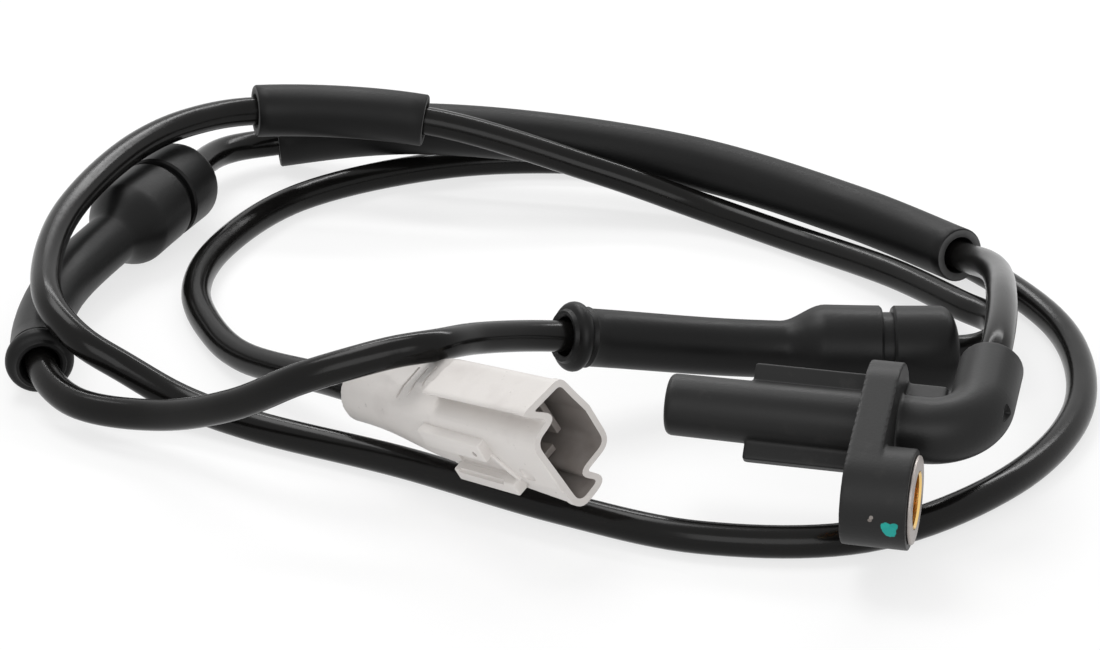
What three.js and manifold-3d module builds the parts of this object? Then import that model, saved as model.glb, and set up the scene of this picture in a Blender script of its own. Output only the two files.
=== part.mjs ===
// Wheel speed sensor with its lead: a two-wire inductive sensor head with an elbow,
// a lead that carries two frame grommets and two protective sleeves, and a keyed plug.
// Millimetres, Z up. The origin is on the flange's seating face, between the barrel and
// the bolt hole. The barrel points to -X, the bolt ear to the front (-Y).

import * as THREE from 'three';
import { mergeVertices } from 'three/addons/utils/BufferGeometryUtils.js';
import Module from 'manifold-3d';

const wasm = await Module();
wasm.setup();

// Lead
const cableDia = 5.2;
const coreDia = 1.6;
const corePitch = 2.2;
const cableSides = 10;
const fitGap = 0.3;

// Sensor head
const barrelDia = 10.2;
const barrelTipDia = 9.8;
const barrelLength = 31.5;
const barrelWall = 1.1;
const tipRound = 1.0;
const finReach = 7.9;
const finThickness = 2.4;
const finLength = 18.5;
const finTurn = 37 * Math.PI / 180;
const flangeThickness = 5.2;
const flangeRadius = 10.2;
const boltPitch = 17.5;
const bossRadius = 7.8;
const bossLength = 10.2;
const seatOffset = 9.0;
const headRoll = 11 * Math.PI / 180;
const boltHoleDia = 8.4;
const bushWall = 1.3;
const bushFlangeRadius = 7.3;
const bushFlangeThickness = 0.7;
const elbowRadius = 5.2;
const elbowBend = 8.0;
const armX = 17.0;
const armReach = 18.0;
const cableGrip = 9.0;
const armLeadOut = 7.0;
const linkHalf = 2.4;
const ledgeEnd = 13.0;
const ledgeReach = 9.5;
const ledgeHalf = 3.2;

// Inside the head
const poleDia = 3.0;
const poleLength = 17.0;
const magnetDia = 6.0;
const magnetLength = 5.0;
const bobbinLength = 13.0;
const bobbinFlange = 1.0;
const bobbinWall = 0.7;
const bobbinDia = 7.0;
const windingDia = 6.4;
const headTabWidth = 1.6;
const headTabThickness = 0.4;
const headTabLength = 11.0;

// Things on the lead
const sleeveDia = 9.6;
const sleeveBore = 7.0;
const grommetTubeDia = 9.6;
const grommetBeadDia = 11.6;
const grommetBeadWidth = 4.2;
const grommetBulbDia = 15.4;
const grommetBore = 7.0;
const grommetShoulder = 7.5;
const grommetBulbLength = 9.5;
const grommetGroove = 1.8;
const grommetGrooveDepth = 1.1;
const grommetEndLength = 10.0;
const grommetRound = 2.0;

// Plug
const plugLength = 52.1;
const plugYaw = -34.0 * Math.PI / 180;
const plugPitch = -9.4 * Math.PI / 180;
const plugRoll = 28 * Math.PI / 180;
const plugRear = new THREE.Vector3(-84.6, 15.9, -4.8);
const plugTailRadius = 5.2;
const plugTailLength = 23.6;
const plugTailNarrow = 0.2;
const plugTailShare = 0.88;
const plugTailTop = 6.1;
const plugWall = 1.4;
const plugMouthDepth = 17.0;
const plugWidth = 11.8;
const plugBodyTop = 4.3;
const plugBodyBottom = -5.4;
const plugKeyTop = 9.8;
const plugKeyNear = -2.0;
const plugKeyFar = 4.1;
const plugLobeBottom = -8.6;
const plugLobeFar = 0.9;
const plugLobeStart = 28.6;
const plugCableGrip = 12.0;
const plugCableOut = 8.0;
const plugCoreHalf = 3.4;
const plugScoopRadius = 5.0;
const plugScoopOut = 1.8;
const plugScoopZ = -1.6;
const padStart = 25.1;
const padEnd = 39.6;
const padLow = 0.2;
const padHigh = 3.9;
const padProud = 1.3;
const padHoleDia = 1.0;
const barStart = 28.8;
const barEnd = 43.0;
const barLow = -6.0;
const barHigh = -3.5;
const barProud = 1.8;
const grooveStarts = [18.2, 20.5, 22.5];
const grooveWidth = 0.7;
const grooveDepth = 0.6;
const grooveHalf = 3.0;
const pinWidth = 1.5;
const pinThickness = 0.8;
const pinPitch = 5.0;
const pinReach = 8.0;
const pinTail = 9.0;
const carrierLength = 7.0;

const paint = (colour, roughness, metalness) => new THREE.MeshStandardMaterial({
  color: colour, roughness, metalness,
});
const moulded = () => paint(0x2a2a2c, 0.55, 0);
const rubber = () => paint(0x161617, 0.6, 0);
const jacket = () => paint(0x0c0c0d, 0.25, 0);
const paleNylon = () => paint(0xc9c6c1, 0.5, 0);
const brass = () => paint(0xc8a24e, 0.3, 1);
const steel = () => paint(0x8b8d90, 0.35, 1);
const copper = () => paint(0xa8562a, 0.35, 1);

const sensor = new THREE.Group();
const head = new THREE.Group();
head.rotation.x = headRoll;
head.position.set(0, seatOffset, 0).applyEuler(head.rotation);
const plug = new THREE.Group();
plug.rotation.set(plugRoll, plugPitch, plugYaw, 'ZYX');
plug.position.copy(plugRear);
sensor.add(head, plug);
sensor.updateMatrixWorld(true);

const fromHead = (x, y, z) => head.localToWorld(new THREE.Vector3(x, y, z));
const fromPlug = (x, y, z) => plug.localToWorld(new THREE.Vector3(x, y, z));

function add(parent, name, geometry, material) {
  const mesh = new THREE.Mesh(geometry, material);
  mesh.name = name;
  parent.add(mesh);
  return mesh;
}

// A closed geometry as a solid, and back again.
function solid(geometry) {
  const bare = geometry.clone();
  bare.deleteAttribute('normal');
  bare.deleteAttribute('uv');
  const merged = mergeVertices(bare, 1e-4);
  return new wasm.Manifold(new wasm.Mesh({
    numProp: 3,
    vertProperties: new Float32Array(merged.attributes.position.array),
    triVerts: new Uint32Array(merged.index.array),
  }));
}

function geometryOf(body) {
  const mesh = body.getMesh();
  const geometry = new THREE.BufferGeometry();
  geometry.setAttribute('position', new THREE.BufferAttribute(mesh.vertProperties, 3));
  geometry.setIndex(new THREE.BufferAttribute(mesh.triVerts, 1));
  geometry.computeVertexNormals();
  return geometry;
}

const join = (first, ...others) => others.reduce((body, next) => body.add(next), first);
const cut = (first, ...others) => others.reduce((body, next) => body.subtract(next), first);

// A profile of [position along X, radius] points, turned about the X axis.
function turned(profile, segments = 28) {
  const points = profile.map(([x, radius]) => new THREE.Vector2(radius, x));
  return new THREE.LatheGeometry(points, segments).rotateZ(-Math.PI / 2);
}

const rod = (radius, from, to, segments = 24) =>
  turned([[from, 0], [from, radius], [to, radius], [to, 0]], segments);

function ring(outer, inner, from, to, segments = 24) {
  return turned([[from, inner], [from, outer], [to, outer], [to, inner], [from, inner]], segments);
}

// A flat outline in the YZ plane, thickened along X.
function slab(shape, from, to, curveSegments = 12) {
  const geometry = new THREE.ExtrudeGeometry(shape, {
    depth: to - from, bevelEnabled: false, curveSegments,
  });
  const turn = new THREE.Matrix4().makeBasis(
    new THREE.Vector3(0, 1, 0), new THREE.Vector3(0, 0, 1), new THREE.Vector3(1, 0, 0));
  return geometry.applyMatrix4(turn).translate(from, 0, 0);
}

function block(x0, x1, y0, y1, z0, z1) {
  return new THREE.BoxGeometry(x1 - x0, y1 - y0, z1 - z0)
    .translate((x0 + x1) / 2, (y0 + y1) / 2, (z0 + z1) / 2);
}

// The outline of a polygon with each corner rounded by its own radius.
function roundedShape(corners) {
  const shape = new THREE.Shape();
  corners.forEach(([x, y, radius], i) => {
    const here = new THREE.Vector2(x, y);
    const before = corners[(i + corners.length - 1) % corners.length];
    const after = corners[(i + 1) % corners.length];
    const start = new THREE.Vector2(before[0], before[1]).sub(here).setLength(radius).add(here);
    const end = new THREE.Vector2(after[0], after[1]).sub(here).setLength(radius).add(here);
    if (i === 0) shape.moveTo(start.x, start.y);
    else shape.lineTo(start.x, start.y);
    shape.quadraticCurveTo(x, y, end.x, end.y);
  });
  shape.closePath();
  return shape;
}

function roundSection(radius, sides) {
  const points = [];
  for (let i = 0; i < sides; i++) {
    const angle = 2 * Math.PI * i / sides;
    points.push(new THREE.Vector2(radius * Math.cos(angle), radius * Math.sin(angle)));
  }
  return new THREE.Shape(points);
}

// The lead's route, from its end inside the elbow to its end inside the plug.
// It is stepped evenly between its points, so tight bends get the shorter steps.
class Route extends THREE.CatmullRomCurve3 {
  getUtoTmapping(u) {
    return u;
  }
}

// The stretch of the route between two of its points.
class Stretch extends THREE.Curve {
  constructor(route, first, last) {
    super();
    this.route = route;
    this.first = first / (route.points.length - 1);
    this.last = last / (route.points.length - 1);
  }

  getPoint(t, target = new THREE.Vector3()) {
    return this.route.getPoint(THREE.MathUtils.lerp(this.first, this.last, t), target);
  }
}

class EvenStretch extends Stretch {
  getUtoTmapping(u) {
    return u;
  }
}

const points = (...list) => list.map(([x, y, z]) => new THREE.Vector3(x, y, z));

const elbowToSleeve = points(
  [15, 54, 4.4], [9.4, 84, -3.2]);
const alongLongSleeve = points(
  [2.3, 96.9, -7.3], [-19.7, 111.6, -7.2], [-54.8, 122.7, -4.8], [-103, 123.3, -3.8],
  [-131.5, 124.5, -9.6]);
const sleeveToGrommet = points(
  [-139.4, 116, -8.9]);
const alongLeftGrommet = points(
  [-141, 96.6, -7], [-144.2, 74.6, -7], [-147.9, 47.5, -8.8], [-140.7, 19.9, -9]);
const betweenGrommets = points(
  [-131.2, 9.9, -9.9], [-115.8, 5.3, -8.3], [-100.4, -0.4, -1.9], [-89, -2, 4.6],
  [-81.2, -0.4, 7.4], [-74.5, 2.7, 8.8], [-68.8, 6.4, 8.9], [-64.4, 17, 5.8]);
const alongRightGrommet = points(
  [-54.1, 31.6, 0.6], [-26.5, 47.2, -5.7], [6.5, 57, -7.1]);
const backTurn = points(
  [11.1, 60.2, -7.4], [13.3, 66, -7.7], [11.7, 73.1, -8.2], [5.4, 79.5, -9],
  [-9.1, 94.1, -10.7], [-30, 108.5, -12.2], [-48, 115.4, -10.7], [-66.9, 115.7, -5.7]);
const alongShortSleeve = points(
  [-99.3, 112.9, 2.3], [-130.5, 108.5, 3]);
const overGrommet = points(
  [-139.8, 98.4, 3.9], [-145.7, 84, 4], [-149, 59.3, 2.3], [-146.3, 39.8, 0.7],
  [-140.3, 25.2, -0.4], [-133, 19.1, -3.2], [-125.4, 18.6, -7.1], [-115.5, 16.9, -10.9]);
const frontSweep = points(
  [-102.2, 13, -12.2], [-74.8, 5.9, -12.2], [-46.1, -3.7, -12.2], [-22.7, -8.2, -12.2],
  [2, -1.9, -12.2], [21.5, 21.9, -12.2], [28.9, 50, -12.2], [23.6, 78, -12.2],
  [9.5, 98.3, -12.2], [-12.7, 117, -12.2]);
const behindSleeve = points(
  [-40.3, 133.9, -12.2], [-71.3, 135.4, -12.2], [-98.5, 127.3, -12.2]);
const innerLoop = points(
  [-121.5, 105.6, -12.2], [-128.9, 79.2, -12.2], [-127, 60.6, -12.2], [-118.8, 45.5, -12.2],
  [-110.3, 35.6, -11.3]);

const route = new Route([
  fromHead(armX, armReach - cableGrip, 0),
  fromHead(armX, armReach - fitGap, 0),
  fromHead(armX, armReach + armLeadOut, 0),
  ...elbowToSleeve, ...alongLongSleeve, ...sleeveToGrommet, ...alongLeftGrommet,
  ...betweenGrommets, ...alongRightGrommet, ...backTurn, ...alongShortSleeve,
  ...overGrommet, ...frontSweep, ...behindSleeve, ...innerLoop,
  fromPlug(-plugCableOut, 0, 0),
  fromPlug(fitGap, 0, 0),
  fromPlug(plugCableGrip, 0, 0),
], false, 'centripetal');

const stretchOf = (list, Kind) =>
  new Kind(route, route.points.indexOf(list[0]), route.points.indexOf(list.at(-1)));

function makeCable() {
  return new THREE.ExtrudeGeometry(roundSection(cableDia / 2, cableSides), {
    steps: 2 * (route.points.length - 1), bevelEnabled: false, extrudePath: route,
  });
}

function makeSleeve(list) {
  const section = roundSection(sleeveDia / 2, 14);
  section.holes.push(roundSection(sleeveBore / 2, 14));
  return new THREE.ExtrudeGeometry(section, {
    steps: 2 * (list.length - 1), bevelEnabled: false, extrudePath: stretchOf(list, EvenStretch),
  });
}

// A turned rubber grommet bent along its stretch: bead, tube, shoulder and grooved bulb.
function makeGrommet(list, beadFirst) {
  const path = stretchOf(list, Stretch);
  const length = path.getLength();
  const tube = grommetTubeDia / 2;
  const bead = grommetBeadDia / 2;
  const bulb = grommetBulbDia / 2;
  const endStart = length - grommetEndLength;
  const bulbStart = endStart - grommetGroove - grommetBulbLength;
  const outside = [
    [0, bead - 1.2], [0.8, bead - 0.3], [grommetBeadWidth / 2, bead],
    [grommetBeadWidth - 0.8, bead - 0.3], [grommetBeadWidth, tube],
  ];
  const tubeSteps = 4;
  for (let i = 1; i <= tubeSteps; i++) {
    const along = THREE.MathUtils.lerp(grommetBeadWidth, bulbStart - grommetShoulder, i / tubeSteps);
    outside.push([along, tube]);
  }
  outside.push(
    [bulbStart - grommetShoulder * 0.7, tube + 0.3],
    [bulbStart - grommetShoulder * 0.35, (tube + bulb) / 2],
    [bulbStart - grommetShoulder * 0.1, bulb - 0.5],
    [bulbStart, bulb],
    [endStart - grommetGroove, bulb],
    [endStart - grommetGroove, bulb - grommetGrooveDepth],
    [endStart, bulb - grommetGrooveDepth],
    [endStart, bulb],
    [length - grommetRound, bulb],
    [length - grommetRound * 0.3, bulb - grommetRound * 0.35],
    [length, bulb - grommetRound]);
  const bore = outside.map(([along]) => [along, grommetBore / 2]).reverse()
    .filter(([along], i, all) => i === 0 || all[i - 1][0] - along > 1e-6);
  const profile = [...outside, ...bore, outside[0]];
  const straight = new THREE.LatheGeometry(
    profile.map(([along, radius]) => new THREE.Vector2(radius, along)), 20);
  const position = straight.attributes.position;
  const up = new THREE.Vector3(0, 0, 1);
  for (let i = 0; i < position.count; i++) {
    const along = Math.min(1, position.getY(i) / length);
    const u = beadFirst ? along : 1 - along;
    const centre = path.getPointAt(u);
    const forward = path.getTangentAt(u).multiplyScalar(beadFirst ? 1 : -1);
    const side = new THREE.Vector3().crossVectors(up, forward).normalize();
    const lift = new THREE.Vector3().crossVectors(forward, side);
    centre.addScaledVector(side, position.getX(i)).addScaledVector(lift, -position.getZ(i));
    position.setXYZ(i, centre.x, centre.y, centre.z);
  }
  return geometryOf(solid(straight));
}

// The bend at the back of the head: from the flange along the barrel's axis, then to +Y.
function elbowPath(reach) {
  const path = new THREE.CurvePath();
  const corner = new THREE.Vector3(armX, 0, 0);
  const bendIn = new THREE.Vector3(armX - elbowBend, 0, 0);
  const bendOut = new THREE.Vector3(armX, elbowBend, 0);
  path.add(new THREE.LineCurve3(new THREE.Vector3(1, 0, 0), bendIn));
  path.add(new THREE.QuadraticBezierCurve3(bendIn, corner, bendOut));
  path.add(new THREE.LineCurve3(bendOut, new THREE.Vector3(armX, reach, 0)));
  return path;
}

// The flange's outline in Y and Z: a round about the barrel drawn out to the bolt ear.
function earShape() {
  const tangent = Math.acos((flangeRadius - bossRadius) / boltPitch);
  const shape = new THREE.Shape();
  shape.absarc(0, 0, flangeRadius, tangent - Math.PI, Math.PI - tangent, false);
  shape.absarc(-boltPitch, 0, bossRadius, Math.PI - tangent, Math.PI + tangent, false);
  shape.closePath();
  return shape;
}

function makeHousing() {
  const tip = -barrelLength;
  const barrel = solid(turned([
    [tip, 0], [tip, barrelTipDia / 2 - tipRound],
    [tip + tipRound * 0.3, barrelTipDia / 2 - tipRound * 0.3],
    [tip + tipRound, barrelTipDia / 2],
    [0, barrelDia / 2], [flangeThickness, barrelDia / 2], [flangeThickness, 0],
  ], 36));
  const fin = solid(new THREE.BoxGeometry(finLength + 1, 2 * finReach, finThickness)
    .translate(-finLength / 2 + 0.5, 0, 0)
    .rotateX(finTurn));
  const flange = solid(slab(earShape(), 0, flangeThickness));
  const boss = solid(rod(bossRadius, 0, bossLength, 40).translate(0, -boltPitch, 0));
  const elbow = solid(new THREE.ExtrudeGeometry(roundSection(elbowRadius, 24), {
    steps: 22, bevelEnabled: false, extrudePath: elbowPath(armReach),
  }));
  const ledge = solid(block(
    flangeThickness / 2, ledgeEnd, 0, ledgeReach, -ledgeHalf, ledgeHalf));
  const body = join(barrel, fin, flange, boss, elbow, ledge);

  const cavityRadius = barrelTipDia / 2 - barrelWall;
  const cavity = solid(rod(cavityRadius, tip + barrelWall, armX - elbowBend + 1, 28));
  const armBore = solid(rod(cableDia / 2 + fitGap, 0, armReach + 2, 20)
    .rotateZ(Math.PI / 2).translate(armX, 0, 0));
  const link = solid(block(
    armX - elbowBend, armX + linkHalf, -linkHalf, linkHalf, -linkHalf, linkHalf));
  const bushSeat = solid(rod(boltHoleDia / 2 + bushWall + fitGap, -1, bossLength + 1, 40)
    .translate(0, -boltPitch, 0));
  return geometryOf(cut(body, cavity, link, armBore, bushSeat));
}

add(head, 'sensor_housing', makeHousing(), moulded());

const bushRadius = boltHoleDia / 2 + bushWall;
const bushEnd = bossLength + fitGap + bushFlangeThickness;
add(head, 'mounting_bush',
  turned([
    [0, boltHoleDia / 2], [0, bushRadius], [bossLength + fitGap, bushRadius],
    [bossLength + fitGap, bushFlangeRadius], [bushEnd, bushFlangeRadius],
    [bushEnd, boltHoleDia / 2], [0, boltHoleDia / 2],
  ], 40).translate(0, -boltPitch, 0), brass());

// Inside the barrel: pole pin at the tip, its bobbin and winding, then the magnet.
const poleStart = -barrelLength + barrelWall + fitGap;
const poleEnd = poleStart + poleLength;
const bobbinStart = poleStart + 1.0;
const bobbinEnd = bobbinStart + bobbinLength;
const boreOfBobbin = poleDia / 2 + fitGap;
const barrelOfBobbin = boreOfBobbin + bobbinWall;

add(head, 'pole_pin', rod(poleDia / 2, poleStart, poleEnd), steel());
add(head, 'coil_bobbin', turned([
  [bobbinStart, boreOfBobbin], [bobbinStart, bobbinDia / 2],
  [bobbinStart + bobbinFlange, bobbinDia / 2], [bobbinStart + bobbinFlange, barrelOfBobbin],
  [bobbinEnd - bobbinFlange, barrelOfBobbin], [bobbinEnd - bobbinFlange, bobbinDia / 2],
  [bobbinEnd, bobbinDia / 2], [bobbinEnd, boreOfBobbin], [bobbinStart, boreOfBobbin],
]), paint(0x3a3a34, 0.6, 0));
add(head, 'coil_winding',
  ring(windingDia / 2, barrelOfBobbin + fitGap,
    bobbinStart + bobbinFlange + fitGap, bobbinEnd - bobbinFlange - fitGap), copper());
const magnetStart = poleEnd + fitGap;
const magnetEnd = magnetStart + magnetLength;
add(head, 'magnet', rod(magnetDia / 2, magnetStart, magnetEnd), steel());

const tabStart = magnetEnd + fitGap;
const tabEnd = tabStart + headTabLength;
const coreEnd = armReach - cableGrip - 1.5 * fitGap;
for (const [side, letter] of [[-1, 'a'], [1, 'b']]) {
  const z = side * corePitch / 2;
  add(head, `head_terminal_${letter}`,
    block(tabStart, tabEnd, -headTabWidth / 2, headTabWidth / 2,
      z - headTabThickness / 2, z + headTabThickness / 2), brass());
  const corePath = new THREE.CatmullRomCurve3(points(
    [tabEnd + fitGap, 0, z], [armX - 3, 0.4, z], [armX - 0.6, 2.6, z], [armX, coreEnd, z]));
  add(head, `head_core_${letter}`, new THREE.ExtrudeGeometry(roundSection(coreDia / 2, 10), {
    steps: 10, bevelEnabled: false, extrudePath: corePath,
  }), paint(side < 0 ? 0x2f4f8f : 0x7a4a2a, 0.5, 0));
}

add(sensor, 'cable', makeCable(), jacket());
add(sensor, 'sleeve_long', makeSleeve(alongLongSleeve), rubber());
add(sensor, 'sleeve_short', makeSleeve(alongShortSleeve), rubber());
add(sensor, 'grommet_left', makeGrommet(alongLeftGrommet, false), rubber());
add(sensor, 'grommet_right', makeGrommet(alongRightGrommet, true), rubber());

// The keyed section of the plug, looked at from the mouth, drawn in by an inset. The key is
// the ridge along the top, the lobe is the hanging corner on the near side.
function keyedSection(inset, withLobe) {
  const near = -plugWidth / 2 + inset;
  const far = plugWidth / 2 - inset;
  const r = Math.max(0.4, 1.8 - inset * 0.6);
  const lobe = [
    [near, plugLobeBottom + inset, r],
    [plugLobeFar - inset, plugLobeBottom + inset, r],
    [plugLobeFar - inset, plugBodyBottom + inset, 0.5],
  ];
  const corner = [[near, plugBodyBottom + inset, r]];
  return roundedShape([
    [near, plugBodyTop - inset, r],
    ...(withLobe ? lobe : corner),
    [far, plugBodyBottom + inset, 1.5 * r],
    [far, plugBodyTop, 1.5 * r],
    [plugKeyFar - inset, plugKeyTop - inset, r],
    [plugKeyNear + inset, plugKeyTop - inset, r],
    [plugKeyNear + inset, plugBodyTop - inset, 0.5],
  ]);
}

// Rings of points joined into one closed skin, with flat ends.
function loft(rings) {
  const count = rings[0].length;
  const positions = [];
  const index = [];
  rings.forEach((points) => points.forEach((p) => positions.push(p.x, p.y, p.z)));
  for (let k = 0; k + 1 < rings.length; k++) {
    for (let i = 0; i < count; i++) {
      const a = k * count + i;
      const b = k * count + (i + 1) % count;
      index.push(a, b, a + count, b, b + count, a + count);
    }
  }
  const flat = rings[0].map((p) => new THREE.Vector2(p.y, p.z));
  const last = (rings.length - 1) * count;
  const lastFlat = rings.at(-1).map((p) => new THREE.Vector2(p.y, p.z));
  THREE.ShapeUtils.triangulateShape(flat, []).forEach(([a, b, c]) => index.push(a, c, b));
  THREE.ShapeUtils.triangulateShape(lastFlat, [])
    .forEach(([a, b, c]) => index.push(last + a, last + b, last + c));
  const geometry = new THREE.BufferGeometry();
  geometry.setAttribute('position', new THREE.Float32BufferAttribute(positions, 3));
  geometry.setIndex(index);
  return geometry;
}

function makePlugHousing() {
  const section = keyedSection(0, false).getSpacedPoints(48);
  section.pop();
  const rings = [0, 0.3, 0.5, 0.7, 0.85, 1].map((t) => {
    const x = t * plugTailLength;
    const grow = THREE.MathUtils.smoothstep(t, plugTailNarrow, 1);
    return section.map((p) => {
      const round = p.clone().setLength(plugTailRadius);
      const here = round.lerp(p, grow * plugTailShare);
      return new THREE.Vector3(x, here.x, Math.min(here.y, plugTailTop));
    });
  });
  const tail = solid(loft(rings));
  const body = solid(slab(keyedSection(0, false), plugTailLength - 0.5, plugLength));
  const shroud = solid(slab(keyedSection(0, true), plugLobeStart, plugLength));
  const mouth = solid(
    slab(keyedSection(plugWall, true), plugLength - plugMouthDepth, plugLength + 2));
  const cableBore = solid(rod(cableDia / 2 + fitGap, -2, plugCableGrip + fitGap, 20));
  const half = plugCoreHalf;
  const inner = solid(slab(roundedShape([
    [-half, -half, fitGap], [half, -half, fitGap], [half, half, fitGap], [-half, half, fitGap],
  ]), plugCableGrip, plugLength - plugMouthDepth + 1));

  // On the near wall: the pad with its small hole, and the slide bar on the lobe.
  const wall = -plugWidth / 2;
  const pad = cut(
    solid(block(padStart, padEnd, wall - padProud, wall + plugWall, padLow, padHigh)),
    solid(rod(padHoleDia / 2, wall - padProud - 1, wall - padProud / 2, 12)
      .rotateZ(Math.PI / 2).translate(padEnd - 2 * padHoleDia, 0, (padLow + padHigh) / 2)));
  const bar = solid(block(barStart, barEnd, wall - barProud, wall + plugWall, barLow, barHigh));
  const scoop = solid(rod(plugScoopRadius, wall - padProud - 1, wall + 2 * plugWall)
    .rotateZ(Math.PI / 2).translate(plugLength + plugScoopOut, 0, plugScoopZ));
  const grooves = grooveStarts.map((x) => solid(block(
    x, x + grooveWidth, -grooveHalf, grooveHalf, plugTailTop - grooveDepth, plugTailTop + 1)));
  return geometryOf(cut(
    join(tail, body, shroud, pad, bar), mouth, cableBore, inner, scoop, ...grooves));
}

add(plug, 'plug_housing', makePlugHousing(), paleNylon());

const carrierStart = plugLength - plugMouthDepth - carrierLength;
const carrierHalf = plugCoreHalf - fitGap;
const pinSlot = (side) => {
  const y = side * pinPitch / 4;
  return block(carrierStart - 1, carrierStart + carrierLength + 1,
    y - pinThickness / 2 - fitGap, y + pinThickness / 2 + fitGap,
    -pinWidth / 2 - fitGap, pinWidth / 2 + fitGap);
};
const carrier = cut(
  solid(block(carrierStart, carrierStart + carrierLength,
    -carrierHalf, carrierHalf, -carrierHalf, carrierHalf)),
  solid(pinSlot(-1)), solid(pinSlot(1)));
add(plug, 'terminal_carrier', geometryOf(carrier), paint(0xb9b7b0, 0.5, 0));

for (const [side, letter] of [[-1, 'a'], [1, 'b']]) {
  const y = side * pinPitch / 4;
  const pinEnd = plugLength - plugMouthDepth + pinReach;
  add(plug, `contact_pin_${letter}`,
    block(carrierStart - pinTail, pinEnd,
      y - pinThickness / 2, y + pinThickness / 2, -pinWidth / 2, pinWidth / 2), brass());
  add(plug, `plug_core_${letter}`,
    rod(coreDia / 2, plugCableGrip + fitGap, carrierStart - pinTail - fitGap, 12)
      .translate(0, side * corePitch / 2, 0), paint(side < 0 ? 0x2f4f8f : 0x7a4a2a, 0.5, 0));
}

export default sensor;
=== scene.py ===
from math import cos, pi, radians, sin, sqrt, tan

import bmesh
import bpy
from mathutils import Euler, Matrix, Vector
from mathutils.geometry import interpolate_bezier


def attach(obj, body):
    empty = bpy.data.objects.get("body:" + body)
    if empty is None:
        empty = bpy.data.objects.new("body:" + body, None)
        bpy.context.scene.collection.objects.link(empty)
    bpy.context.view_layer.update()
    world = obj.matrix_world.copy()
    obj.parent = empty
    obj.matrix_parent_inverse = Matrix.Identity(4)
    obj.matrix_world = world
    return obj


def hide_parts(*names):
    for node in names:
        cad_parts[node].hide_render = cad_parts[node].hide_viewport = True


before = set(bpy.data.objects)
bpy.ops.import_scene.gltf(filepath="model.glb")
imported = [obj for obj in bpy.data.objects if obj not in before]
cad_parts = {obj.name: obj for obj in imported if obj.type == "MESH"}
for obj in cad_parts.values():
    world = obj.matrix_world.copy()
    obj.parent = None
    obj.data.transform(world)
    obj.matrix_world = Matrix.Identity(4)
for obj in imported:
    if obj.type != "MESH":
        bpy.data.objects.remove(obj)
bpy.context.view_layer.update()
scene = bpy.context.scene
mm = 0.001


# Camera: the view of the photograph, with its long lens

cameraLook = {
    "place": (0.0835, -0.5502, 0.2814),
    "tilt": 65.0,
    "turn": 13.5,
    "lens": 131.9,
}


def makeCamera():
    data = bpy.data.cameras.new("camera")
    data.sensor_width = 36
    data.lens = cameraLook["lens"]
    data.clip_start = 0.05
    data.clip_end = 20
    camera = bpy.data.objects.new("camera", data)
    camera.location = cameraLook["place"]
    camera.rotation_euler = (radians(cameraLook["tilt"]), 0, radians(cameraLook["turn"]))
    scene.collection.objects.link(camera)
    scene.camera = camera


makeCamera()
print("camera set")


# Where the head and the plug stand: their own frames have X along the barrel and the shroud

headRoll = radians(11)
headPlace = Matrix.Rotation(headRoll, 4, 'X') @ Matrix.Translation((0, 9 * mm, 0))
plugPlace = (Matrix.Translation((-0.0846, 0.0159, -0.0048))
             @ Euler((radians(28), radians(-9.4), radians(-34)), 'XYZ').to_matrix().to_4x4())


# Shader helpers

class Wire:
    # a socket that can be added and multiplied, each time by one more Math node
    def __init__(self, maker, socket):
        self.maker = maker
        self.socket = socket

    def maths(self, kind, first, second):
        return self.maker.node("ShaderNodeMath", {"operation": kind}, {0: first, 1: second})

    def __add__(self, other):
        return self.maths("ADD", self, other)

    def __radd__(self, other):
        return self.maths("ADD", other, self)

    def __sub__(self, other):
        return self.maths("SUBTRACT", self, other)

    def __rsub__(self, other):
        return self.maths("SUBTRACT", other, self)

    def __mul__(self, other):
        return self.maths("MULTIPLY", self, other)

    def __rmul__(self, other):
        return self.maths("MULTIPLY", other, self)


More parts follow.
